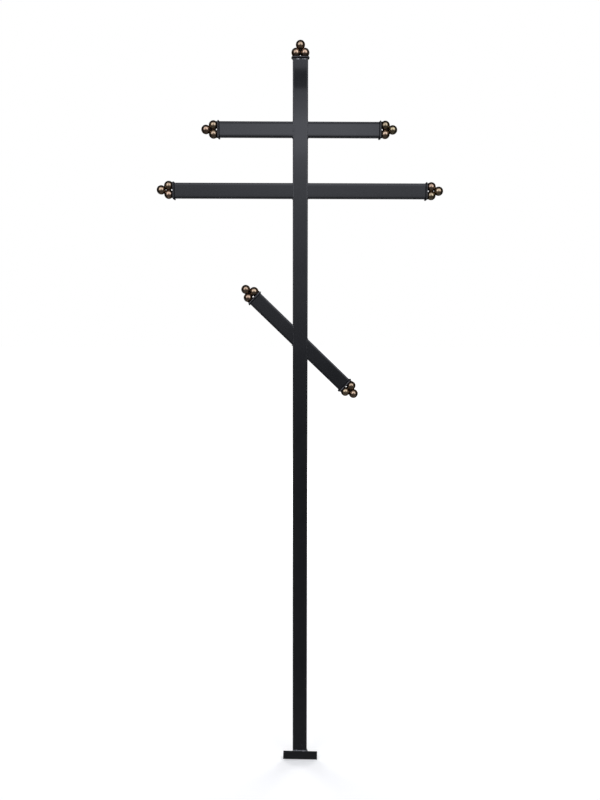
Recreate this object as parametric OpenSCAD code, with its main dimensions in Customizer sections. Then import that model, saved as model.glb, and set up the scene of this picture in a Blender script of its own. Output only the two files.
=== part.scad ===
// Eight-pointed grave cross of welded rectangular steel tube.
// A post carries a short upper arm, a longer middle arm and a slanted footrest.
// Each of the seven free ends has an end plate with three balls welded to it.
// The foot is a short piece of steel angle that the post stands in.
// +Z is up, -Y is the front. The origin is on the underside of the foot, on the post's axis.

/* [Post] */
// Height from the underside of the foot to the outer face of the top end plate
post_h = 1987; // [1200:1:2600]

/* [Upper arm] */
// Drop from the outer face of the top end plate to the upper arm's centre line
upper_arm_drop = 189; // [60:1:240]
// Reach of the upper arm to the left, post axis to the outer face of its end plate
upper_arm_left_reach = 223; // [60:1:400]
// Reach of the upper arm to the right, post axis to the outer face of its end plate
upper_arm_right_reach = 218; // [60:1:400]

/* [Middle arm] */
// Drop from the upper arm's centre line to the middle arm's centre line
middle_arm_drop = 162; // [120:1:240]
// Reach of the middle arm to either side, post axis to the outer face of its end plate
middle_arm_reach = 346; // [80:1:600]

/* [Footrest] */
// Drop from the middle arm's centre line to the point where the footrest crosses the post
footrest_drop = 411; // [340:1:520]
// Reach of the footrest along its own line, post axis to the outer face of the high end's plate
footrest_high_reach = 177; // [100:1:300]
// Reach of the footrest along its own line, post axis to the outer face of the low end's plate
footrest_low_reach = 176; // [100:1:300]
// Slope of the footrest below the level, in degrees
footrest_slope = 44; // [20:1:50]

/* [Tube] */
// Width of the tube's broad face, seen from the front
tube_w = 40; // [25:1:60]
// Depth of the tube, front to back
tube_d = 20; // [15:1:40]
// Wall of the tube
tube_wall = 2; // [1.2:0.1:2.4]
// Outside radius of the tube's four long edges
tube_corner = 3; // [2.6:0.1:5]

/* [End plates] */
// Thickness of an end plate
plate_t = 3; // [2:0.5:6]
// How far an end plate stands out past the tube on every side
plate_overhang = 3; // [1:0.5:6]
// Radius of an end plate's four corners
plate_corner = 2; // [0.5:0.5:4]

/* [Balls] */
// Diameter of a ball
ball_d = 25; // [18:1:30]
// Depth of the flat by which each inner ball sits on its end plate
ball_seat = 0.9; // [0.5:0.1:3]
// Depth of the small flat fused on each ball where two balls meet
ball_fuse = 0.8; // [0.1:0.1:1.2]

/* [Foot angle] */
// Length of the foot angle, across the post
foot_w = 98; // [70:1:200]
// Height of the foot angle's upright leg
foot_leg_h = 25; // [15:1:50]
// Depth of the foot angle's flat leg, its own thickness included
foot_leg_d = 25; // [24:1:50]
// Thickness of both legs
foot_t = 3; // [2:0.5:5]
// Rolled radius at the inner edge of each leg's toe
foot_toe = 1.5; // [0.5:0.1:1.8]

/* [Hidden] */
$fn = 64;
paint = [0.12, 0.12, 0.13];
bronze = [0.40, 0.30, 0.20];

// Heights of the three crossings and the place of the tube's front face
upper_arm_z = post_h - upper_arm_drop;
middle_arm_z = upper_arm_z - middle_arm_drop;
footrest_z = middle_arm_z - footrest_drop;
tube_front = -tube_d / 2;

// Balls: the inner pair's places on the plate, then the outer ball nested on the pair
ball_r = ball_d / 2;
ball_gap = ball_d - 2 * ball_fuse;
pair_x = ball_r - ball_seat;
tip_x = pair_x + ball_gap * sin(60);

// The seven free ends: name, direction in degrees from +X towards +Z, height of the line,
// reach to the plate's outer face, and the names of its inner balls on the +Z and -Z sides
// of a line that runs outwards along +X
ENDS = [
    ["top", 90, 0, post_h, "left", "right"],
    ["upper_left", 180, upper_arm_z, upper_arm_left_reach, "low", "high"],
    ["upper_right", 0, upper_arm_z, upper_arm_right_reach, "high", "low"],
    ["middle_left", 180, middle_arm_z, middle_arm_reach, "low", "high"],
    ["middle_right", 0, middle_arm_z, middle_arm_reach, "high", "low"],
    ["footrest_high", 180 - footrest_slope, footrest_z, footrest_high_reach, "low", "high"],
    ["footrest_low", -footrest_slope, footrest_z, footrest_low_reach, "high", "low"]
];

function plate_name(e) = str("plate_", e[0]);
function tip_name(e) = str("ball_", e[0], "_tip");
function pair_name(e, side) = str("ball_", e[0], "_", side > 0 ? e[4] : e[5]);
function arm_name(e) = str("arm_", e[0]);

// A rectangle with rounded corners, centred on the origin
module rounded_rectangle(w, d, r) {
    square([w - 2 * r, d], center = true);
    square([w, d - 2 * r], center = true);
    for (x = [-1, 1], y = [-1, 1])
        translate([x * (w / 2 - r), y * (d / 2 - r)])
            circle(r = r);
}

// The tube's wall in section, broad side along X
module tube_section() {
    difference() {
        rounded_rectangle(tube_w, tube_d, tube_corner);
        rounded_rectangle(
            tube_w - 2 * tube_wall, tube_d - 2 * tube_wall, tube_corner - tube_wall
        );
    }
}

// Puts its children on the line of one end, which runs outwards along +X
module along(e) {
    translate([0, 0, e[2]])
        rotate([0, -e[1], 0])
            children();
}

// A length of tube along +X, from one distance off the origin to another
module tube_run(start, stop) {
    translate([start, 0, 0])
        rotate([0, 90, 0])
            linear_extrude(stop - start)
                tube_section();
}

// The post stands in the foot angle and runs up to the top end plate
module post() {
    color(paint)
        translate([0, 0, foot_t])
            linear_extrude(post_h - plate_t - foot_t)
                tube_section();
}

// Half an arm, cut to the side of the post that it is welded to
module arm(e) {
    color(paint)
        difference() {
            along(e)
                tube_run(0, e[3] - plate_t);
            translate([0, 0, e[2]])
                cube([tube_w, 2 * tube_d, 4 * tube_w], center = true);
        }
}

// The plate that closes a tube's free end
module end_plate(e) {
    color(paint)
        along(e)
            translate([e[3] - plate_t, 0, 0])
                rotate([0, 90, 0])
                    linear_extrude(plate_t)
                        rounded_rectangle(
                            tube_w + 2 * plate_overhang,
                            tube_d + 2 * plate_overhang,
                            plate_corner
                        );
}

// Takes off the part of a ball that lies past a flat, square to a direction in the XZ plane
module flat_cut(angle, depth) {
    rotate([0, -angle, 0])
        translate([ball_r - depth + ball_d / 2, 0, 0])
            cube(ball_d, center = true);
}

// An inner ball: flats for its plate, its neighbour and the outer ball
module pair_ball(e, side) {
    color(bronze)
        along(e)
            translate([e[3] + pair_x, 0, side * ball_gap / 2])
                difference() {
                    sphere(d = ball_d);
                    flat_cut(180, ball_seat);
                    flat_cut(-90 * side, ball_fuse);
                    flat_cut(-30 * side, ball_fuse);
                }
}

// The outer ball: two flats for the inner pair
module tip_ball(e) {
    color(bronze)
        along(e)
            translate([e[3] + tip_x, 0, 0])
                difference() {
                    sphere(d = ball_d);
                    flat_cut(150, ball_fuse);
                    flat_cut(-150, ball_fuse);
                }
}

// What a rolled toe lacks at its inner edge, as a square corner less a round
module toe_corner() {
    difference() {
        square(2 * foot_toe);
        circle(r = foot_toe);
    }
}

// Section of the foot angle: the outer corner at the origin, one leg up, one leg back
module angle_section() {
    difference() {
        union() {
            square([foot_t, foot_leg_h]);
            square([foot_leg_d, foot_t]);
        }
        translate([foot_t - foot_toe, foot_leg_h - foot_toe])
            toe_corner();
        translate([foot_leg_d - foot_toe, foot_t - foot_toe])
            toe_corner();
    }
}

// The foot angle: upright leg across the post's front, flat leg under its end
module foot_angle() {
    color(paint)
        translate([-foot_w / 2, tube_front - foot_t, 0])
            rotate([90, 0, 90])
                linear_extrude(foot_w)
                    angle_section();
}

post();
foot_angle();
for (i = [1:6])
    arm(ENDS[i]);
for (e = ENDS)
    end_plate(e);
for (e = ENDS)
    tip_ball(e);
for (e = ENDS, side = [1, -1])
    pair_ball(e, side);
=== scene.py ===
import math
import random
import bmesh
import bpy
from mathutils import Matrix, Vector, noise


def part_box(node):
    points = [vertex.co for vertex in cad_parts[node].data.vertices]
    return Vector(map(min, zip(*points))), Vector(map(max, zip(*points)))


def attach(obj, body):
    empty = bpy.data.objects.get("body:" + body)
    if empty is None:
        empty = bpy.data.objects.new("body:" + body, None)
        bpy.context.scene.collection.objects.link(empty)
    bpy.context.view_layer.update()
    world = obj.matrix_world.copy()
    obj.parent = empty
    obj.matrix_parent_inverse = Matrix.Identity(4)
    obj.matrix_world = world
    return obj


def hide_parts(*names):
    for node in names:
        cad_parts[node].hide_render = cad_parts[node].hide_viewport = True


# Grave cross of welded steel tube, painted black, with bronze-tinted balls at its seven ends.
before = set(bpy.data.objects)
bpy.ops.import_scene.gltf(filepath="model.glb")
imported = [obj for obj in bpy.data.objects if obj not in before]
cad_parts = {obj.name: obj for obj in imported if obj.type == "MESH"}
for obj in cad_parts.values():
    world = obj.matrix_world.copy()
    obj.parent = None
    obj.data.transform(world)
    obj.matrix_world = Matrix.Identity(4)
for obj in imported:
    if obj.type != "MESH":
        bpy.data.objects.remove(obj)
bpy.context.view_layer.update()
print("frame loaded:", len(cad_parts), "nodes")

mm = 0.001
front = Vector((0, -1, 0))
back = Vector((0, 1, 0))


def middle(node):
    low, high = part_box(node)
    return (low + high) / 2


def span(node):
    low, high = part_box(node)
    return high - low


def mix(a, b, t):
    return a + (b - a) * t


def smooth(t):
    t = max(0.0, min(1.0, t))
    return t * t * (3 - 2 * t)


def wobble(point, size, seed=0.0):
    # gentle noise from -1 to 1, its bumps about `size` metres long
    return noise.noise(Vector(point) / size + Vector((seed, 2.7 * seed, 5.1)))


def roundedLoop(width, depth, radius, cornerSteps, wideSteps, narrowSteps):
    # once around a rounded rectangle: (u, v, normal u, normal v), u along the width
    loop = []
    for quarter in range(4):
        cu = (width / 2 - radius) * (1 if quarter in (0, 3) else -1)
        cv = (depth / 2 - radius) * (1 if quarter < 2 else -1)
        for i in range(cornerSteps + 1):
            angle = math.pi / 2 * (quarter + i / cornerSteps)
            nu, nv = math.cos(angle), math.sin(angle)
            loop.append((cu + radius * nu, cv + radius * nv, nu, nv))
        steps = wideSteps if quarter in (0, 2) else narrowSteps
        length = (width if quarter in (0, 2) else depth) - 2 * radius
        u, v, nu, nv = loop[-1]
        for i in range(1, steps):
            along = length * i / steps
            loop.append((u - nv * along, v + nu * along, nu, nv))
    return loop


def meshFromRings(name, rings, closed=False, sharp=35):
    # skins a row of rings; the ends are capped unless the row closes on itself
    count = len(rings[0])
    verts = [p for ring in rings for p in ring]
    faces = []
    last = len(rings) if closed else len(rings) - 1
    for i in range(last):
        a, b = i * count, (i + 1) % len(rings) * count
        for j in range(count):
            k = (j + 1) % count
            faces.append((a + j, a + k, b + k, b + j))
    if not closed:
        faces.append(tuple(range(count - 1, -1, -1)))
        faces.append(tuple(range((len(rings) - 1) * count, len(rings) * count)))
    return finishMesh(name, verts, faces, sharp)


def finishMesh(name, verts, faces, sharp):
    mesh = bpy.data.meshes.new(name)
    mesh.from_pydata([tuple(v) for v in verts], [], faces)
    work = bmesh.new()
    work.from_mesh(mesh)
    bmesh.ops.recalc_face_normals(work, faces=work.faces)
    work.to_mesh(mesh)
    work.free()
    mesh.shade_smooth()
    mesh.set_sharp_from_angle(angle=math.radians(sharp))
    piece = bpy.data.objects.new(name, mesh)
    bpy.context.collection.objects.link(piece)
    return piece


def wear_and_highlight(piece, amount):
    # marks how much the paint is rubbed, and how much painted edge highlight it carries, at each
    # point; amount(point number) runs from 0 to 1
    layer = piece.data.attributes.new("wear_and_highlight", "FLOAT", "POINT")
    for i in range(len(piece.data.vertices)):
        layer.data[i].value = amount(i)


def place(piece, material, slot, *nodes):
    piece.data.materials.append(material)
    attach(piece, "root")
    if nodes:
        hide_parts(*nodes)


camera = {
    "place": (-0.0425, -2.4048, 1.3542),
    "pitch": 6.917,  # degrees below the level
    "turn": 1.008,  # degrees to the right
    "roll": -0.061,
    "lens": 38.85,
    "filmHeight": 36.0,
}


def setCamera(c):
    data = bpy.data.cameras.new("camera")
    data.sensor_fit = "VERTICAL"
    data.sensor_height = c["filmHeight"]
    data.lens = c["lens"]
    data.clip_end = 60
    eye = bpy.data.objects.new("camera", data)
    turn = Matrix.Rotation(math.radians(-c["turn"]), 4, "Z")
    pitch = Matrix.Rotation(math.radians(90 - c["pitch"]), 4, "X")
    roll = Matrix.Rotation(math.radians(-c["roll"]), 4, "Z")
    eye.matrix_world = Matrix.Translation(c["place"]) @ turn @ pitch @ roll
    bpy.context.collection.objects.link(eye)
    bpy.context.scene.camera = eye


setCamera(camera)


class Shader:
    # a material's node tree with short ways to add and join nodes
    def __init__(self, name):
        self.material = bpy.data.materials.new(name)
        self.material.use_nodes = True
        self.tree = self.material.node_tree
        self.main = self.tree.nodes["Principled BSDF"]
        self.coords = self.tree.nodes.new("ShaderNodeTexCoord").outputs["Object"]

    def node(self, kind, links=None, **values):
        made = self.tree.nodes.new(kind)
        for key, value in values.items():
            setattr(made, key, value)
        for key, value in (links or {}).items():
            socket = made.inputs[key]
            if isinstance(value, bpy.types.NodeSocket):
                self.tree.links.new(value, socket)
            else:
                socket.default_value = value
        return made

    def noise(self, scale, detail, rough):
        links = {"Vector": self.coords, "Scale": scale}
        links.update({"Detail": detail, "Roughness": rough})
        return self.node("ShaderNodeTexNoise", links).outputs["Fac"]

    def spread(self, value, low, high, toLow, toHigh):
        links = {"Value": value, "From Min": low, "From Max": high}
        links.update({"To Min": toLow, "To Max": toHigh})
        return self.node("ShaderNodeMapRange", links).outputs["Result"]

    def blend(self, amount, a, b):
        made = self.node("ShaderNodeMix", data_type="RGBA")
        for index, value in ((0, amount), (6, a), (7, b)):
            if isinstance(value, bpy.types.NodeSocket):
                self.tree.links.new(value, made.inputs[index])
            else:
                made.inputs[index].default_value = value
        return made.outputs[2]

    def bump(self, height, strength, distance):
        links = {"Height": height, "Strength": strength, "Distance": distance}
        return self.node("ShaderNodeBump", links).outputs["Normal"]

    def set(self, key, value):
        if isinstance(value, bpy.types.NodeSocket):
            self.tree.links.new(value, self.main.inputs[key])
        else:
            self.main.inputs[key].default_value = value


enamel = {
    "deep": (0.0062, 0.0066, 0.0076, 1),
    "thin": (0.0088, 0.0092, 0.0104, 1),
    "dust": (0.030, 0.029, 0.028, 1),
    # lighter paint where rubbed, also used as a painted edge highlight on the corners and,
    # strongest, on the footrest plates' edges
    "wornAndHighlight": (0.105, 0.105, 0.112, 1),
    "dustShare": 0.35,
    "undercoatLevel": 0.12,
    "roughLow": 0.26,
    "roughHigh": 0.40,
    "topCoat": 1.0,
    "topCoatRough": 0.03,
    "peel": 0.12,  # orange peel under the top coat
    "peelScale": 650.0,
    "peelDepth": 0.6 * mm,
    "cloudScale": 9.0,  # patches of thinner paint
    "dustScale": 520.0,
    "rubScale": 95.0,
    "smearScale": 26.0,
    "ior": 1.5,
}


def makeEnamel(name, e):
    s = Shader(name)
    cloud = s.noise(e["cloudScale"], 4.0, 0.6)
    base = s.blend(s.spread(cloud, 0.35, 0.65, 0.0, 1.0), e["deep"], e["thin"])
    speck = s.spread(s.noise(e["dustScale"], 2.0, 0.7), 0.66, 0.76, 0.0, e["dustShare"])
    dusted = s.blend(speck, base, e["dust"])
    # lighter where the pieces mark wear: rubbed paint together with a painted edge highlight
    wornAndHighlight = s.node("ShaderNodeAttribute", attribute_name="wear_and_highlight").outputs["Fac"]
    rubs = s.spread(s.noise(e["rubScale"], 4.0, 0.6), 0.38, 0.58, 0.1, 1.0)
    wearAndHighlightMask = s.node("ShaderNodeMath", {0: wornAndHighlight, 1: rubs}, operation="MULTIPLY").outputs[0]
    s.set("Base Color", s.blend(wearAndHighlightMask, dusted, e["wornAndHighlight"]))
    smear = s.noise(e["smearScale"], 5.0, 0.65)
    s.set("Roughness", s.spread(smear, 0.3, 0.7, e["roughLow"], e["roughHigh"]))
    s.set("IOR", e["ior"])
    s.set("Specular IOR Level", e["undercoatLevel"])
    s.set("Coat Weight", e["topCoat"])
    s.set("Coat Roughness", e["topCoatRough"])
    s.set("Normal", s.bump(s.noise(e["peelScale"], 2.0, 0.5), e["peel"], e["peelDepth"]))
    return s.material


# what the other coats change in the enamel; the last two are painted highlights, light grey blotches
# on the weld crests
onWeld = {"dustShare": 0.6, "topCoatRough": 0.08, "peel": 0.2}
onCollar = {"topCoat": 0.1, "undercoatLevel": 0.06, "topCoatRough": 0.08, "peel": 0.2}
paintedWeldHighlight = {
    "deep": (0.025, 0.026, 0.028, 1),
    "thin": (0.27, 0.27, 0.285, 1),
    "topCoat": 0.5,
    "topCoatRough": 0.12,
    "peel": 0.3,
    "cloudScale": 260.0,
}
paintedToeHighlight = dict(paintedWeldHighlight, deep=(0.12, 0.12, 0.125, 1), thin=(0.50, 0.50, 0.52, 1), topCoat=0.4)

tubePaint = makeEnamel("black_enamel", enamel)
weldPaint = makeEnamel("black_enamel_on_weld", dict(enamel, **onWeld))
collarPaint = makeEnamel("thin_enamel_on_collars", dict(enamel, **onCollar))
weldHighlightPaint = makeEnamel("weld_with_painted_highlight", dict(enamel, **paintedWeldHighlight))
toeHighlightPaint = makeEnamel("toe_weld_with_painted_highlight", dict(enamel, **paintedToeHighlight))
print("paint mixed")

bronze = {
    "crownRed": (0.475, 0.32, 0.22, 1),
    "crownOlive": (0.43, 0.36, 0.21, 1),
    "stain": (0.16, 0.105, 0.07, 1),
    # near black where the balls meet each other and the plate: black undercoat there, and painted
    # shade in the gaps
    "undercoatAndShade": (0.012, 0.008, 0.006, 1),
    "edgeTint": (0.55, 0.38, 0.24, 1),
    "roughLow": 0.19,
    "roughHigh": 0.27,
    "lacquer": 0.4,
    "lacquerRough": 0.10,
    "stainScale": 130.0,
    "polishScale": 210.0,
    "grain": 0.10,
    "grainScale": 900.0,
    "grainDepth": 0.4 * mm,
}


def makeBronze(name, b):
    s = Shader(name)
    tone = s.node("ShaderNodeAttribute", attribute_name="tone").outputs["Fac"]
    undercoat_and_shade = s.node("ShaderNodeAttribute", attribute_name="undercoat_and_shade").outputs["Fac"]
    crown = s.blend(tone, b["crownRed"], b["crownOlive"])
    patch = s.spread(s.noise(b["stainScale"], 4.0, 0.6), 0.40, 0.72, 0.0, 0.75)
    tarnished = s.blend(patch, crown, b["stain"])
    # painted shade: the ball darkens towards the next ball and the plate, over the black undercoat
    # that shows at the contacts
    s.set("Base Color", s.blend(undercoat_and_shade, tarnished, b["undercoatAndShade"]))
    s.set("Metallic", 1.0)
    s.set("Specular Tint", b["edgeTint"])
    polish = s.noise(b["polishScale"], 4.0, 0.6)
    s.set("Roughness", s.spread(polish, 0.3, 0.7, b["roughLow"], b["roughHigh"]))
    s.set("Coat Weight", b["lacquer"])
    s.set("Coat Roughness", b["lacquerRough"])
    s.set("Normal", s.bump(s.noise(b["grainScale"], 3.0, 0.6), b["grain"], b["grainDepth"]))
    return s.material


ballFinish = makeBronze("bronze_patina", bronze)
print("bronze mixed")

# the cross's own measures, from the frame
tubeSize = span("post")
tubeWide, tubeDeep = tubeSize.x, tubeSize.y
plateSize = span("plate_top")
plateThick = plateSize.z
ballRadius = span("ball_top_tip").x / 2
postHalf = tubeWide / 2


def lineOf(plateA, plateB):
    # where the line between two plates crosses the post, and its direction towards the first
    a, b = middle(plateA), middle(plateB)
    direction = (a - b).normalized()
    return b + direction * (-b.x / direction.x), direction


def findEnds():
    ends = {"top": {"root": Vector((0, 0, 0)), "out": Vector((0, 0, 1))}}
    pairs = (("upper", "left", "right"), ("middle", "left", "right"), ("footrest", "high", "low"))
    for arm, first, second in pairs:
        for this, other in ((first, second), (second, first)):
            root, out = lineOf(f"plate_{arm}_{this}", f"plate_{arm}_{other}")
            ends[f"{arm}_{this}"] = {"root": root, "out": out}
    for name, end in ends.items():
        end["side"] = back.cross(end["out"])
        end["face"] = (middle("plate_" + name) - end["root"]).dot(end["out"]) - plateThick / 2
        end["balls"] = [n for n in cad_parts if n.startswith("ball_" + name + "_")]
    return ends


ends = findEnds()


def at(end, along, u, v):
    return end["root"] + end["out"] * along + end["side"] * u + back * v


tube = {
    "corner": 3.0 * mm,
    "cornerSteps": 8,
    "wideSteps": 8,
    "narrowSteps": 4,
    "ringStep": 8 * mm,
    "wave": 0.02 * mm,  # how far the broad faces wander in and out
    "waveLength": 90 * mm,
    "waveSeed": 3.0,
    "easeIn": 8.0,  # the wave dies away in the last part, one over this of the length
    "paintBuild": 0.65 * mm,  # more than real coats, so that the bars look wide enough
    "wear_and_highlight": 0.10,  # rubbed paint and a painted edge highlight on the rounded corners
}


def tubeRings(end, t, start, stop, cut):
    loop = roundedLoop(tubeWide, tubeDeep, t["corner"], t["cornerSteps"], t["wideSteps"],
                       t["narrowSteps"])
    steps = max(2, round((stop - start) / t["ringStep"]))
    rings = []
    for i in range(steps + 1):
        ring = []
        for u, v, nu, nv in loop:
            first = cut(u) if cut else start
            along = mix(first, stop, i / steps)
            point = at(end, along, u, v)
            edge = min(1.0, t["easeIn"] * min(i, steps - i) / steps)
            drift = t["wave"] * edge * wobble(point, t["waveLength"], t["waveSeed"])
            ring.append(point + (end["side"] * nu + back * nv) * (drift + t["paintBuild"]))
        rings.append(ring)
    corner = [t["wear_and_highlight"] * smooth(abs(4 * nu * nv) - 0.6) for u, v, nu, nv in loop]
    return rings, corner


def tubePiece(name, rings, corner, node):
    piece = meshFromRings(name + "_tube", rings)
    wear_and_highlight(piece, lambda i: corner[i % len(corner)])
    place(piece, tubePaint, "black_paint", node)


def makeTubes(t):
    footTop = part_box("post")[0].z
    rings, corner = tubeRings(ends["top"], t, footTop, ends["top"]["face"], None)
    tubePiece("post", rings, corner, "post")
    for name, end in ends.items():
        if name == "top":
            continue
        sign = 1 if end["out"].x > 0 else -1

        def cut(u, end=end, sign=sign):
            return (sign * postHalf - end["side"].x * u) / end["out"].x

        rings, corner = tubeRings(end, t, postHalf, end["face"], cut)
        tubePiece(name, rings, corner, "arm_" + name)


makeTubes(tube)
print("tubes done")

plate = {
    "corner": 2.2 * mm,
    "round": 0.9 * mm,  # softened edge
    "roundSteps": 6,
    "ragged": 0.13 * mm,  # hand-cut edge
    "raggedLength": 7 * mm,
    "raggedSeed": 11.0,
    "loopSteps": (6, 14, 8),  # to a corner, a wide side and a narrow side
    "sharp": 60,
    "wear_and_highlight": {"usual": 0.15, "footrest_high": 1.0, "footrest_low": 1.0},  # rubbed paint on the edge, and on the footrest plates a full painted highlight along their edge
}


def makePlates(p):
    for index, (name, end) in enumerate(ends.items()):
        loop = roundedLoop(plateSize.x, plateSize.y, p["corner"], *p["loopSteps"])
        rings = []
        profile = []
        for i in range(p["roundSteps"] + 1):
            angle = math.pi / 2 * i / p["roundSteps"]
            profile.append((p["round"] * (1 - math.sin(angle)), p["round"] * (1 - math.cos(angle))))
        upper = [(inset, plateThick - rise) for inset, rise in reversed(profile)]
        for inset, rise in profile + upper:
            ring = []
            for u, v, nu, nv in loop:
                point = at(end, end["face"] + rise, u - nu * inset, v - nv * inset)
                rag = p["ragged"] * wobble(point, p["raggedLength"], p["raggedSeed"] + index)
                ring.append(point + (end["side"] * nu + back * nv) * rag)
            rings.append(ring)
        piece = meshFromRings(name + "_plate", rings, sharp=p["sharp"])
        crest = [math.sin(math.pi * k / (len(rings) - 1)) ** 2 for k in range(len(rings))]
        wear_and_highlight(piece, lambda i: crest[i // len(loop)] * p["wear_and_highlight"].get(name, p["wear_and_highlight"]["usual"]))
        place(piece, tubePaint, "black_paint", "plate_" + name)


makePlates(plate)
print("end plates done")

ball = {
    "fineness": 4,
    "dent": 0.10 * mm,  # hammered unevenness
    "dentLength": 9 * mm,
    "seed": 7,
    "shadeNear": 0.6 * mm,  # painted shade, with the black undercoat at the contacts: dark where the next piece is nearer than this
    "shadeFar": 5.5 * mm,
}

# how far a trefoil was welded off its tube's line, along the end's side direction
trefoilDrift = {"middle_left": 2.2 * mm, "middle_right": -0.9 * mm, "upper_right": -1.0 * mm}


def ballCentre(end, node):
    # a ball's flats pull its box off centre, so its place is worked out from the plate
    tip = node.endswith("_tip")
    box = middle(node)
    away = (box - at(end, 0, 0, 0)).dot(end["side"])
    outer = end["face"] + plateThick
    off = end["drift"]
    if tip:
        return at(end, outer + ballSeatRise + ballHalfGap * math.sqrt(3), off, 0)
    return at(end, outer + ballSeatRise, off + math.copysign(ballHalfGap, away), 0)


for name, end in ends.items():
    end["drift"] = trefoilDrift.get(name, 0.0)
seatLow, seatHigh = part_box("ball_middle_right_high")
ballSeatRise = seatHigh.x - seatLow.x - ballRadius
ballHalfGap = seatHigh.z - ballRadius - ends["middle_right"]["root"].z


def makeBalls(b):
    dice = random.Random(b["seed"])
    for name, end in ends.items():
        centres = {n: ballCentre(end, n) for n in end["balls"]}
        outer = at(end, end["face"] + plateThick, 0, 0)
        for node, centre in centres.items():
            seed = dice.uniform(0, 90)
            work = bmesh.new()
            bmesh.ops.create_icosphere(work, subdivisions=b["fineness"], radius=ballRadius)
            for v in work.verts:
                way = v.co.normalized()
                v.co = centre + way * (ballRadius + b["dent"] * wobble(v.co, b["dentLength"], seed))
            mesh = bpy.data.meshes.new(node + "_forged")
            work.to_mesh(mesh)
            work.free()
            mesh.shade_smooth()
            tone = mesh.attributes.new("tone", "FLOAT", "POINT")
            undercoat_and_shade = mesh.attributes.new("undercoat_and_shade", "FLOAT", "POINT")
            shade = dice.random()
            others = [c for n, c in centres.items() if n != node]
            # painted shade: each point darkens as the next ball or the plate comes near, and this
            # also stands for the black undercoat at the contacts
            for i, v in enumerate(mesh.vertices):
                room = min((v.co - c).length - ballRadius for c in others)
                room = min(room, (v.co - outer).dot(end["out"]))
                clear = (room - b["shadeNear"]) / (b["shadeFar"] - b["shadeNear"])
                tone.data[i].value = shade
                undercoat_and_shade.data[i].value = 1 - smooth(clear)
            piece = bpy.data.objects.new(node + "_forged", mesh)
            bpy.context.collection.objects.link(piece)
            place(piece, ballFinish, "bronze_patina", node)


makeBalls(ball)
print("balls done")

beading = {
    "lumps": 400,  # how many ripples before their sizes come round again
    "lumpShare": 0.5,
    "lag": 0.30,  # how far the ripples trail at the bead's edges, against the pitch
    "sharp": 80,
}


def bead(name, stations, closed, pitch, ripple, seed, sides=14, material=None, slot="black_paint"):
    # stations: (centre, first axis, second axis, radius on each, cap on the first axis or None)
    dice = random.Random(seed)
    count = beading["lumps"]
    lumps = [dice.uniform(-1, 1) for _ in range(count)]
    rings = []
    travelled = 0.0
    for i, (centre, a, b, ra, rb, cap) in enumerate(stations):
        if i:
            travelled += (centre - stations[i - 1][0]).length
        ring = []
        for j in range(sides):
            angle = 2 * math.pi * j / sides
            lag = travelled + beading["lag"] * pitch * math.cos(angle) ** 2
            step = lag / pitch
            local = step - math.floor(step)
            swell = 1 + ripple * (1 - (2 * local - 1) ** 2 - 0.5)
            lump = mix(lumps[int(step) % count], lumps[(int(step) + 1) % count], smooth(local))
            swell += beading["lumpShare"] * ripple * lump
            rise = ra * swell * math.cos(angle)
            if cap is not None:
                rise = min(rise, cap)
            ring.append(centre + a * rise + b * rb * swell * math.sin(angle))
        rings.append(ring)
    piece = meshFromRings(name, rings, closed, beading["sharp"])
    place(piece, material or weldPaint, slot)


collar = {
    "legAlong": 2.7 * mm,  # how far the fillet runs along the tube
    "legUp": 3.0 * mm,  # how far it climbs the plate
    "crown": 0.1 * mm,
    "toeRoll": 0.25 * mm,
    "topToeRoll": 0.9 * mm,  # the top end's weld has a fuller toe
    "sideRise": 3.2 * mm,  # on the narrow sides, above the tube
    "ripple": 0.13,
    "pitch": 4.4 * mm,
    "lag": 1.3 * mm,  # how far the ripples bow forward halfway up the fillet
    "lumps": 80,
    "lumpShare": 0.6,
    "lift": 0.3 * mm,  # the whole face stands off by this, down to its toe
    "under": 0.5 * mm,  # its underside is sunk this far into the tube
    "intoPlate": 0.3 * mm,
    "wander": 0.35 * mm,
    "wanderLength": 11 * mm,
    "loopSteps": (8, 60, 26),
    "rows": 9,
    "seed": 100,
}


def makeCollars(c):
    # a fillet weld right round each end, in the corner between tube and plate
    loop = roundedLoop(tubeWide, tubeDeep, tube["corner"], *c["loopSteps"])
    steps = c["rows"]
    count = c["lumps"]
    for index, (name, end) in enumerate(ends.items()):
        dice = random.Random(c["seed"] + index)
        lumps = [dice.uniform(-1, 1) for _ in range(count)]
        roll = c["topToeRoll"] if name == "top" else c["toeRoll"]
        rings = []
        travelled = 0.0
        for i, (u, v, nu, nv) in enumerate(loop):
            if i:
                travelled += math.hypot(u - loop[i - 1][0], v - loop[i - 1][1])
            outward = end["side"] * nu + back * nv
            foot = at(end, end["face"], u, v)
            narrow = smooth(abs(nu) * 1.5 - 0.5)
            drift = c["wander"] * wobble(foot, c["wanderLength"], 20.0 + index)
            ring = []
            for k in range(steps + 1):
                t = k / steps  # 0 on the plate, 1 on the tube
                lag = (travelled + c["lag"] * math.sin(math.pi * t)) / c["pitch"]
                local = lag - math.floor(lag)
                lump = mix(lumps[int(lag) % count], lumps[(int(lag) + 1) % count], smooth(local))
                swell = 1 + c["ripple"] * (0.5 - (2 * local - 1) ** 2 + c["lumpShare"] * lump)
                height = mix(c["legUp"], c["sideRise"], narrow) * swell
                length = c["legAlong"] * (0.85 + 0.15 * swell) + drift
                up = height * (1 - t) + c["crown"] * swell * math.sin(math.pi * t)
                up += roll * swell * smooth(t * 3 - 1.6) * smooth((1 - t) * 6)
                if k < steps:
                    up += c["lift"]
                ring.append(foot + outward * up - end["out"] * length * t)
            ring.append(foot - outward * c["under"] - end["out"] * c["legAlong"])
            ring.append(foot - outward * c["under"] + end["out"] * c["intoPlate"])
            ring.append(foot + outward * height * 0.8 + end["out"] * c["intoPlate"])
            rings.append(ring)
        piece = meshFromRings(name + "_collar_weld", rings, True, beading["sharp"])
        place(piece, collarPaint, "black_paint")


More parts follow.
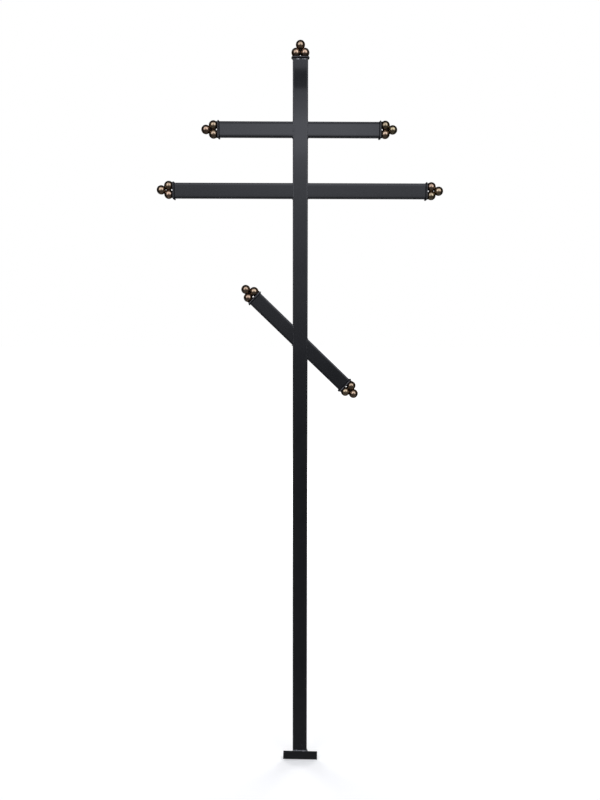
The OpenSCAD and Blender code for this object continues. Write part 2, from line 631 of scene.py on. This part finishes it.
makeCollars(collar)

ear = {
    "width": 1.7 * mm,
    "rise": 1.3 * mm,
    "usual": (0.9, 0.75, 0.35),  # shares of the rise and width, place across the plate's edge
    "sagged": (1.35, 1.2, -0.35),
    "inset": 1.6 * mm,  # from the plate's corners
    "sink": 0.5 * mm,
    "wander": 0.5 * mm,
    "wanderLength": 9 * mm,
    "steps": 30,
    "pitch": 4.0 * mm,
    "ripple": 0.25,
}


def makeEars(e):
    # weld that ran over the plate's two narrow edges, and sagged on the lower one
    for index, (name, end) in enumerate(ends.items()):
        for sign in (-1, 1):
            outward = end["side"] * sign
            tall, broad, across = e["sagged"] if outward.z < -0.3 else e["usual"]
            along = end["face"] + plateThick * across
            stations = []
            for i in range(e["steps"] + 1):
                t = i / e["steps"]
                v = mix(-1, 1, t) * (plateSize.y / 2 - e["inset"])
                point = at(end, along, sign * (plateSize.x / 2 - e["sink"]), v)
                point += end["out"] * e["wander"] * wobble(point, e["wanderLength"], 70.0 + index)
                taper = mix(0.35, 1.0, smooth(min(t, 1 - t) * 6))
                rise = (e["rise"] * tall + e["sink"]) * taper
                wide = e["width"] * broad * taper
                stations.append((point, outward, end["out"], rise, wide, None))
            bead(f"{name}_ear_weld_{'a' if sign > 0 else 'b'}", stations, False, e["pitch"],
                 e["ripple"], 150 + 2 * index + (sign > 0))


makeEars(ear)

toe = {
    "drop": 4.0 * mm,  # below the plate's inner face
    "radius": 1.15 * mm,
    "sink": 0.15 * mm,
    "steps": 16,
    "runs": ((-12, -1.2), (4.5, 8.5), (9.5, 16.5)),  # mm across the top tube's front
    "pitch": 3.4 * mm,
    "ripple": 0.35,
}


def makeToes(t):
    # short raised runs of weld at the toe of the top end's collar, front and back
    end = ends["top"]
    for index, (start, stop) in enumerate(t["runs"]):
        for face, word in ((-1, "front"), (1, "back")):
            stations = []
            for i in range(t["steps"] + 1):
                share = i / t["steps"]
                taper = mix(0.3, 1.0, smooth(min(share, 1 - share) * 5))
                u = mix(start, stop, share) * mm * -face
                point = at(end, end["face"] - t["drop"], u, face * (tubeDeep / 2 - t["sink"]))
                radius = t["radius"] * taper
                stations.append((point, back * face, end["out"], radius, radius * 1.2, None))
            # their light grey paint is a painted highlight on the weld's crest
            bead(f"top_toe_weld_{word}_{index}", stations, False, t["pitch"], t["ripple"],
                 170 + 2 * index + (face > 0), 12, toeHighlightPaint)


makeToes(toe)

joint = {
    "filletAbove": 1.8 * mm,  # in the corner over an arm
    "filletBelow": 2.5 * mm,  # in the corner under it
    "groundWidth": 2.4 * mm,  # across the dressed seam on the broad faces
    "groundDepth": 2.8 * mm,
    "groundSink": 2.2 * mm,
    "groundProud": 0.63 * mm,
    "towardPost": 1.4 * mm,
    "uneven": 0.15,
    "unevenLength": 9 * mm,
    "loopSteps": (8, 46, 20),
    "pitch": 4.2 * mm,
    "ripple": 0.16,
}


def makeJoints(j):
    loop = roundedLoop(tubeWide, tubeDeep, tube["corner"], *j["loopSteps"])
    for index, (name, end) in enumerate(ends.items()):
        if name == "top":
            continue
        sign = 1 if end["out"].x > 0 else -1
        away = Vector((sign, 0, 0))
        stations = []
        for u, v, nu, nv in loop:
            outward = end["side"] * nu + back * nv
            along = (sign * postHalf - end["side"].x * u) / end["out"].x
            broad = smooth(abs(nv) * 1.6 - 0.6)
            point = at(end, along, u, v)
            size = 1 + j["uneven"] * wobble(point, j["unevenLength"], 60.0 + index)
            point -= outward * j["groundSink"] * broad
            point -= away * j["towardPost"] * broad
            fillet = mix(j["filletBelow"], j["filletAbove"], smooth(0.5 + outward.z))
            cap = mix(fillet, j["groundSink"] + j["groundProud"], broad)
            deep = mix(fillet, j["groundDepth"], broad) * size
            wide = mix(fillet, j["groundWidth"], broad) * size
            stations.append((point, outward, away, deep, wide, cap))
        bead(name + "_joint_weld", stations, True, j["pitch"], j["ripple"], 200 + index)


makeJoints(joint)

tack = {
    "ballRing": 3.4 * mm,
    "lowRing": 5.0 * mm,  # between the two balls that sit on the plate
    "bridge": 2.1 * mm,  # the bead along the plate from one to the other
    "ballRadius": 1.7 * mm,
    "plateRadius": 5.0 * mm,
    "plug": 2.6 * mm,  # weld that closes the eye between three balls
    "plugRows": (-5, -4, -2, 0, 2, 4, 5),  # mm from front to back
    "plugTaper": 60,  # the less, the more pointed the plug's ends
    "openEyes": ("middle_left", "middle_right"),
    "bridgeReach": 10,  # mm to each side
    "seatLift": 0.4,  # of the ring's thickness
    "ringSteps": 40,
    "sides": 10,
    "pitch": 3.0 * mm,
    "ripple": 0.3,
}


def ringStations(centre, axis, radius, thick, count):
    one = axis.orthogonal().normalized()
    two = axis.cross(one)
    stations = []
    for i in range(count):
        angle = 2 * math.pi * i / count
        radial = one * math.cos(angle) + two * math.sin(angle)
        stations.append((centre + radial * radius, radial, axis, thick, thick, None))
    return stations


def makeTacks(t):
    seat = math.sqrt(ballRadius ** 2 - ballSeatRise ** 2)
    for index, (name, end) in enumerate(ends.items()):
        centres = [ballCentre(end, n) for n in end["balls"]]
        tip = max(centres, key=lambda c: c.dot(end["out"]))
        pair = [c for c in centres if c is not tip]
        for k, (a, b) in enumerate(((tip, pair[0]), (tip, pair[1]), (pair[0], pair[1]))):
            reach = t["lowRing"] if k == 2 else t["ballRing"]
            ring = ringStations((a + b) / 2, (b - a).normalized(), reach, t["ballRadius"],
                                t["ringSteps"])
            bead(f"{name}_ball_tack_{k}", ring, True, t["pitch"], t["ripple"], 300 + 10 * index + k,
                 t["sides"], tackFinish, "bronze_patina")
        if name not in t["openEyes"]:
            eye = (tip + pair[0] + pair[1]) / 3
            stations = []
            for y in t["plugRows"]:
                radius = t["plug"] * (1 - y * y / t["plugTaper"])
                stations.append((eye + back * y * mm, end["out"], end["side"], radius, radius, None))
            bead(name + "_eye_weld", stations, False, t["pitch"], t["ripple"], 350 + index, 12,
                 tackFinish, "bronze_patina")
        low = (pair[0] + pair[1]) / 2 - end["out"] * ballSeatRise
        across = (pair[1] - pair[0]).normalized()
        stations = [(low + across * u * mm, end["out"], back, t["bridge"], t["bridge"] * 2, None)
                    for u in range(-t["bridgeReach"], t["bridgeReach"] + 1)]
        bead(name + "_bridge_tack", stations, False, t["pitch"], t["ripple"], 370 + index, 12,
             tackFinish, "bronze_patina")
        for k, c in enumerate(pair):
            seatAt = c - end["out"] * ballSeatRise + end["out"] * t["seatLift"] * t["plateRadius"]
            ring = ringStations(seatAt, end["out"], seat, t["plateRadius"], t["ringSteps"])
            bead(f"{name}_seat_tack_{k}", ring, True, t["pitch"], t["ripple"], 400 + 10 * index + k,
                 t["sides"], tackFinish, "bronze_patina")


tackTone = {
    "crownRed": (0.03, 0.02, 0.015, 1),
    "crownOlive": (0.02, 0.017, 0.012, 1),
    "stain": (0.008, 0.006, 0.005, 1),
    "edgeTint": (0.12, 0.08, 0.05, 1),
    "roughLow": 0.4,
    "roughHigh": 0.6,
    "lacquer": 0.04,
    "lacquerRough": 0.3,
}
tackFinish = makeBronze("burnt_tack", dict(bronze, **tackTone))
makeTacks(tack)
print("welds done")

foot = {
    "lean": 1.77,  # degrees out of level, its right end low
    "leg": 3.0 * mm,
    "corner": 1.1 * mm,
    "topCorner": 0.6 * mm,
    "toe": 1.5 * mm,
    "ragged": 0.35 * mm,
    "raggedLength": 20 * mm,
    "longer": 1.6 * mm,  # at its right end
    "dressed": ((0.0, 0.82), (0.5 * mm, 0.95), (1.1 * mm, 1.0)),  # from an end, share of full size
    "steps": 40,
    "paintBuild": 0.5 * mm,
}


def arc(cy, cz, radius, fromDegrees, toDegrees, steps=6):
    points = []
    for i in range(steps + 1):
        angle = math.radians(mix(fromDegrees, toDegrees, i / steps))
        points.append((cy + radius * math.cos(angle), cz + radius * math.sin(angle)))
    return points


def makeFoot(f):
    low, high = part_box("foot_angle")
    y0, y1, z1 = low.y - f["paintBuild"], high.y, high.z + f["paintBuild"]
    c, t, leg, tc = f["corner"], f["toe"], f["leg"], f["topCorner"]
    outline = (arc(y0 + c, c, c, 180, 270) + [(y1, 0.0)] + arc(y1 - t, leg - t, t, 0, 90)
               + [(y0 + leg, leg)] + arc(y0 + leg - t, z1 - t, t, 0, 90)
               + arc(y0 + tc, z1 - tc, tc, 90, 180, 3))
    tilt = Matrix.Rotation(math.radians(f["lean"]), 3, "Y")
    steps = f["steps"]
    stops = [(low.x + d, k) for d, k in f["dressed"]]
    right = high.x + f["longer"]
    stops += [(mix(low.x, right, i / steps), 1.0) for i in range(1, steps)]
    stops += [(right - d, k) for d, k in reversed(f["dressed"])]
    cy, cz = (y0 + y0 + leg) / 2, leg / 2
    rings = []
    for x, k in stops:
        ring = []
        for y, z in outline:
            # each end is dressed by pulling the outline in towards the middle of its leg
            my = cy if z > leg else y
            mz = cz if y > y0 + leg else z
            p = Vector((x, mix(my, y, k), mix(mz, z, k)))
            p.x += f["ragged"] * wobble((x, 3 * y, 3 * z), f["raggedLength"], 5.0)
            ring.append(tilt @ p)
        rings.append(ring)
    place(meshFromRings("foot_angle_bar", rings, sharp=50), tubePaint, "black_paint", "foot_angle")


makeFoot(foot)

footWeld = {
    "radius": 2.6 * mm,
    "flareTop": 10 * mm,
    "flareRadius": 2.4 * mm,
    "flareStart": 0.6 * mm,
    "backRadius": 2.0 * mm,
    "uneven": 0.2,
    "unevenLength": 8 * mm,
    "steps": 60,
    "shortSteps": (24, 30),  # down the side, and along the inner ones
    "pitch": 4.0 * mm,
    "ripple": 0.28,
}


def makeFootWelds(w):
    low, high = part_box("foot_angle")
    slope = math.tan(math.radians(foot["lean"]))
    top = high.z
    face = -tubeDeep / 2
    up = Vector((0, 0, 1))
    sideSteps, innerSteps = w["shortSteps"]
    stations = []
    count = w["steps"]
    for i in range(count + 1):
        x = mix(-postHalf - 1.0 * mm, postHalf + 1.5 * mm, i / count)
        taper = mix(0.45, 1, smooth(min(i, count - i) / 6))
        point = Vector((x, face - 0.3 * mm, top - slope * x + 0.2 * mm))
        radius = w["radius"] * taper * (1 + w["uneven"] * wobble(point, w["unevenLength"], 81))
        stations.append((point, up, front, radius, radius, None))
    # the front weld's light grey blotches are a painted highlight
    bead("foot_front_weld", stations, False, w["pitch"], w["ripple"], 501, 14, weldHighlightPaint)
    stations = []
    for i in range(sideSteps + 1):
        t = i / sideSteps
        point = Vector((postHalf + mix(-0.6, 1.2, t ** 2) * mm, face + 3.0 * mm,
                        top - slope * postHalf + mix(w["flareTop"], -1.0 * mm, t)))
        radius = mix(w["flareStart"], w["flareRadius"], t)
        stations.append((point, Vector((1, 0, 0)), front, radius, radius * 1.6, None))
    bead("foot_side_weld", stations, False, w["pitch"], w["ripple"], 502)
    for sign in (-1, 1):
        stations = []
        for i in range(innerSteps + 1):
            y = mix(face + 1.0 * mm, -face - 0.5 * mm, i / innerSteps)
            point = Vector((sign * postHalf, y, foot["leg"] - slope * sign * postHalf))
            rough = 1 + w["uneven"] * wobble(point, w["unevenLength"], 90 + sign)
            radius = w["backRadius"] * rough
            stations.append((point, up, Vector((sign, 0, 0)), radius, radius, None))
        bead("foot_inner_weld_" + ("right" if sign > 0 else "left"), stations, False, w["pitch"],
             w["ripple"], 510 + sign)


makeFootWelds(footWeld)

spatter = {
    "drops": (("right_high", 5.5, 18, 0.9), ("right_low", 9.0, 10, 0.7), ("left", -11.0, 27, 0.6)),
    "flat": 0.7,  # a drop's height against its radius
    "finest": 0.05 * mm,
    "dropSteps": 8,
    "burr": 1.5 * mm,  # on the lower right corner of the foot, from the saw
    "burrPlace": (-1.6 * mm, 1.4 * mm, 0.6 * mm),  # from that corner
    "burrSteps": 10,
}


def makeSpatter(d):
    low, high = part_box("foot_angle")
    right, up = Vector((1, 0, 0)), Vector((0, 0, 1))
    for name, across, above, radius in d["drops"]:
        centre = Vector((across * mm, -tubeDeep / 2, high.z + above * mm))
        stations = []
        for i in range(d["dropSteps"] + 1):
            angle = math.pi * i / d["dropSteps"]
            size = max(radius * mm * math.sin(angle), d["finest"])
            spot = centre - right * radius * mm * math.cos(angle)
            stations.append((spot, front, up, size * d["flat"], size, None))
        # the drops carry the same light grey painted highlight
        bead("foot_spatter_" + name, stations, False, 2 * mm, 0.2, 530 + int(above), 12, weldHighlightPaint)
    dx, dy, dz = d["burrPlace"]
    drop = math.tan(math.radians(foot["lean"])) * high.x
    corner = Vector((high.x + foot["longer"] + dx, low.y + dy, dz - drop))
    stations = []
    for i in range(d["burrSteps"] + 1):
        angle = math.pi * i / d["burrSteps"]
        size = max(d["burr"] * math.sin(angle), 2 * d["finest"])
        spot = corner - right * d["burr"] * 1.2 * math.cos(angle)
        stations.append((spot, up, front, size, size, None))
    bead("foot_burr", stations, False, 2 * mm, 0.3, 540, 12)


makeSpatter(spatter)
print("foot done")

studio = {
    "tentRadius": 4.2,
    "tentCentre": (0, 0, 1.4),
    "tentColour": (0.95, 0.98, 1.09, 1),
    "middleBands": (  # straight in front: degrees above the level, brightness
        (-14, 0.11), (-8, 0.20), (-3, 0.36), (3, 0.54), (7, 0.72), (11, 0.95), (13.0, 1.25),
        (14.3, 1.65), (16.6, 1.65), (17.6, 1.30), (19.5, 0.85), (19.8, 0.12), (21.2, 0.10),
        (21.4, 0.80), (26, 1.5), (32, 2.4), (44, 2.0), (56, 0.9), (66, 0.45), (78, 0.2),
    ),
    "sideBands": (  # to either side
        (-14, 0.14), (-8, 0.28), (-3, 0.8), (3, 2.2), (8, 2.9), (30, 3.0), (40, 2.2),
        (50, 1.1), (60, 0.5), (78, 0.2),
    ),
    "middleShare": (  # degrees to the right, share of the middle bands against the side ones
        (-70, 0.0), (-30, 0.0), (-17, 1.0), (18, 1.0), (30, 0.0), (70, 0.0),
    ),
    "tentSides": (  # degrees to the right, share of the brightness
        (-70, 0.0), (-58, 0.04), (-52, 0.3), (-44, 0.75), (-30, 0.95), (-13, 0.74), (-8, 0.78),
        (-3, 0.90), (1, 0.95), (5, 0.97), (9, 0.86), (14, 0.88), (30, 0.95), (44, 0.75),
        (52, 0.3), (58, 0.04), (70, 0.0),
    ),
    "tentMesh": (28, 60),  # squares across and up
    "worldFill": 0.45,
    "floorSize": 40,
    "floorLevel": -2 * mm,  # the leaning foot's low corner sinks half a millimetre into it
    "floorMatt": 0.70,
    "glowNear": 0.38,  # the floor's own light under the cross, where its shadow shows
    "glowFar": 0.80,
    "glowStart": 1.4,  # metres from the cross
    "glowSpread": 4.2,
    "cardColour": (0.96, 0.98, 1.04, 1),
    "darkCard": 0.02,
    "groundCard": 0.10,
    "nearGround": 0.15,
    "rearGround": 0.09,
    "rearWall": 0.42,
    "sideStops": ((3.9, -2.6), (2.0, -1.0), (1.1, 0.6), (1.6, 6.5)),  # from the tent to the back
    "sideHeight": 6,
    "lampSpots": ((-2.6, 3.4, 2.6), (2.6, 3.4, 2.6)),  # two soft lamps behind
    "lampAim": (0, 0, 1.5),
    "lampSize": 2.6,
    "lampPower": 85,
}


def backdropMix(tree, shown, hidden):
    # the first shader for the eye, in reflections and through glass, the second elsewhere
    path = tree.nodes.new("ShaderNodeLightPath")
    first = tree.nodes.new("ShaderNodeMath")
    first.operation = "MAXIMUM"
    tree.links.new(path.outputs["Is Camera Ray"], first.inputs[0])
    tree.links.new(path.outputs["Is Glossy Ray"], first.inputs[1])
    second = tree.nodes.new("ShaderNodeMath")
    second.operation = "MAXIMUM"
    tree.links.new(first.outputs[0], second.inputs[0])
    tree.links.new(path.outputs["Is Transmission Ray"], second.inputs[1])
    both = tree.nodes.new("ShaderNodeMixShader")
    tree.links.new(second.outputs[0], both.inputs[0])
    tree.links.new(hidden, both.inputs[1])
    tree.links.new(shown, both.inputs[2])
    return both.outputs[0]


def makeWorld(s):
    world = bpy.data.worlds.new("studio")
    bpy.context.scene.world = world
    world.use_nodes = True
    tree = world.node_tree
    white = tree.nodes["Background"]
    white.inputs["Color"].default_value = (1, 1, 1, 1)
    dim = tree.nodes.new("ShaderNodeBackground")
    dim.inputs["Color"].default_value = (1, 1, 1, 1)
    dim.inputs["Strength"].default_value = s["worldFill"]
    out = backdropMix(tree, white.outputs[0], dim.outputs[0])
    tree.links.new(out, tree.nodes["World Output"].inputs["Surface"])


def makeFloor(s):
    bpy.ops.mesh.primitive_plane_add(size=s["floorSize"], location=(0, 0, s["floorLevel"]))
    floor = bpy.context.object
    floor.name = "studio_floor"
    material = bpy.data.materials.new("pale_floor")
    material.use_nodes = True
    tree = material.node_tree
    tree.nodes.remove(tree.nodes["Principled BSDF"])
    matt = tree.nodes.new("ShaderNodeBsdfDiffuse")
    matt.inputs["Color"].default_value = (s["floorMatt"],) * 3 + (1,)
    glow = tree.nodes.new("ShaderNodeEmission")
    away = tree.nodes.new("ShaderNodeVectorMath")
    away.operation = "LENGTH"
    tree.links.new(tree.nodes.new("ShaderNodeTexCoord").outputs["Object"], away.inputs[0])
    spread = tree.nodes.new("ShaderNodeMapRange")
    spread.inputs["From Min"].default_value = s["glowStart"]
    spread.inputs["From Max"].default_value = s["glowSpread"]
    spread.inputs["To Min"].default_value = s["glowNear"]
    spread.inputs["To Max"].default_value = s["glowFar"]
    tree.links.new(away.outputs["Value"], spread.inputs["Value"])
    tree.links.new(spread.outputs["Result"], glow.inputs["Strength"])
    both = tree.nodes.new("ShaderNodeAddShader")
    tree.links.new(matt.outputs[0], both.inputs[0])
    tree.links.new(glow.outputs[0], both.inputs[1])
    out = backdropMix(tree, both.outputs[0], matt.outputs[0])
    tree.links.new(out, tree.nodes["Material Output"].inputs["Surface"])
    floor.data.materials.append(material)


def onTent(s, azimuth, elevation):
    # azimuth 0 is straight in front of the cross, growing to its right
    a, e = math.radians(azimuth), math.radians(elevation)
    way = Vector((math.sin(a) * math.cos(e), -math.cos(a) * math.cos(e), math.sin(e)))
    return Vector(s["tentCentre"]) + way * s["tentRadius"]


def levelCurve(tree, value, levels):
    # looks an angle up in a list of (degrees, level)
    lowest, highest = levels[0][0], levels[-1][0]
    peak = max(level for angle, level in levels)
    share = tree.nodes.new("ShaderNodeMapRange")
    share.inputs["From Min"].default_value = math.radians(lowest)
    share.inputs["From Max"].default_value = math.radians(highest)
    tree.links.new(value, share.inputs["Value"])
    ramp = tree.nodes.new("ShaderNodeFloatCurve")
    tree.links.new(share.outputs["Result"], ramp.inputs["Value"])
    curve = ramp.mapping.curves[0]
    points = [((angle - lowest) / (highest - lowest), level / peak) for angle, level in levels]
    curve.points[0].location = points[0]
    curve.points[1].location = points[-1]
    for x, y in points[1:-1]:
        curve.points.new(x, y)
    for p in curve.points:
        p.handle_type = "VECTOR"
    ramp.mapping.update()
    return sums(tree, "MULTIPLY", ramp.outputs[0], peak)


def sums(tree, operation, a, b=None):
    node = tree.nodes.new("ShaderNodeMath")
    node.operation = operation
    for socket, value in zip(node.inputs, (a, b)):
        if isinstance(value, bpy.types.NodeSocket):
            tree.links.new(value, socket)
        elif value is not None:
            socket.default_value = value
    return node.outputs[0]


def makeTent(s):
    # a curved light tent whose brightness is set band by band
    bands, sides = s["middleBands"], s["tentSides"]
    verts, faces = [], []
    across, up = s["tentMesh"]
    for i in range(up + 1):
        for j in range(across + 1):
            verts.append(onTent(s, mix(sides[0][0], sides[-1][0], j / across),
                                mix(bands[0][0], bands[-1][0], i / up)) - Vector(s["tentCentre"]))
    for i in range(up):
        for j in range(across):
            a = i * (across + 1) + j
            faces.append((a, a + 1, a + across + 2, a + across + 1))
    mesh = bpy.data.meshes.new("light_tent")
    mesh.from_pydata(verts, [], faces)
    tent = bpy.data.objects.new("light_tent", mesh)
    tent.location = s["tentCentre"]
    bpy.context.collection.objects.link(tent)
    material = bpy.data.materials.new("lit_cloth")
    material.use_nodes = True
    tree = material.node_tree
    tree.nodes.remove(tree.nodes["Principled BSDF"])
    split = tree.nodes.new("ShaderNodeSeparateXYZ")
    tree.links.new(tree.nodes.new("ShaderNodeTexCoord").outputs["Object"], split.inputs[0])
    height = sums(tree, "ARCSINE", sums(tree, "DIVIDE", split.outputs["Z"], s["tentRadius"]))
    turn = sums(tree, "ARCTAN2", split.outputs["X"], sums(tree, "MULTIPLY", split.outputs["Y"], -1))
    ahead = levelCurve(tree, height, bands)
    beside = levelCurve(tree, height, s["sideBands"])
    share = levelCurve(tree, turn, s["middleShare"])
    rest = sums(tree, "SUBTRACT", 1.0, share)
    strength = sums(tree, "ADD", sums(tree, "MULTIPLY", ahead, share),
                    sums(tree, "MULTIPLY", beside, rest))
    strength = sums(tree, "MULTIPLY", strength, levelCurve(tree, turn, sides))
    glow = tree.nodes.new("ShaderNodeEmission")
    glow.inputs["Color"].default_value = s["tentColour"]
    tree.links.new(strength, glow.inputs["Strength"])
    tree.links.new(glow.outputs[0], tree.nodes["Material Output"].inputs["Surface"])
    mesh.materials.append(material)
    tent.visible_camera = False
    tent.visible_shadow = False


def card(name, corners, shade, colour):
    # a dark card that only reflections see, as is set round polished metal in a studio
    mesh = bpy.data.meshes.new(name)
    mesh.from_pydata(corners, [], [(0, 1, 2, 3)])
    material = bpy.data.materials.new(name + "_cloth")
    material.use_nodes = True
    tree = material.node_tree
    tree.nodes.remove(tree.nodes["Principled BSDF"])
    glow = tree.nodes.new("ShaderNodeEmission")
    glow.inputs["Color"].default_value = colour
    glow.inputs["Strength"].default_value = shade
    tree.links.new(glow.outputs[0], tree.nodes["Material Output"].inputs["Surface"])
    mesh.materials.append(material)
    made = bpy.data.objects.new(name, mesh)
    bpy.context.collection.objects.link(made)
    made.visible_camera = False
    made.visible_diffuse = False
    made.visible_shadow = False


def ledge(x, y0, z0, y1, z1):
    # the corners of a card as wide as 2x, from one level line to another
    return [(-x, y0, z0), (x, y0, z0), (x, y1, z1), (-x, y1, z1)]


def makeCards(s):
    dark, ground, tint = s["darkCard"], s["groundCard"], s["cardColour"]
    card("ground_card", ledge(4, -4.8, 0, -0.4, 0), ground, tint)
    card("near_ground_card", ledge(4, -0.4, 0, -0.015, 0), s["nearGround"], tint)
    card("low_card", ledge(5, -4.6, 0, -4.6, 1.0), ground, tint)
    card("rear_ground_card", ledge(6, 0.015, 0, 16, 0), s["rearGround"], tint)
    for side in (-1, 1):
        for i in range(len(s["sideStops"]) - 1):
            (x0, y0), (x1, y1) = s["sideStops"][i], s["sideStops"][i + 1]
            top = s["sideHeight"]
            corners = [(side * x0, y0, 0), (side * x1, y1, 0), (side * x1, y1, top)]
            corners.append((side * x0, y0, top))
            card(f"side_card_{i}_{'right' if side > 0 else 'left'}", corners, dark, tint)
    card("top_card", ledge(4, -1.0, 5.4, 0.8, 3.2), dark, tint)
    card("rear_wall_card", ledge(9, 15, 0, 15, 9), s["rearWall"], tint)
    card("top_rear_card", ledge(4, 0.8, 3.2, 6.5, 3.9), dark, tint)


def makeLamps(s):
    for index, spot in enumerate(s["lampSpots"]):
        light = bpy.data.lights.new(f"soft_lamp_{index}", "AREA")
        light.shape = "DISK"
        light.size = s["lampSize"]
        light.energy = s["lampPower"]
        lamp = bpy.data.objects.new(light.name, light)
        lamp.location = spot
        way = Vector(s["lampAim"]) - Vector(spot)
        lamp.rotation_euler = way.to_track_quat("-Z", "Y").to_euler()
        lamp.visible_camera = False
        bpy.context.collection.objects.link(lamp)


makeWorld(studio)
makeFloor(studio)
makeTent(studio)
makeCards(studio)
makeLamps(studio)
bpy.context.scene.view_settings.view_transform = "Standard"
print("studio lit")
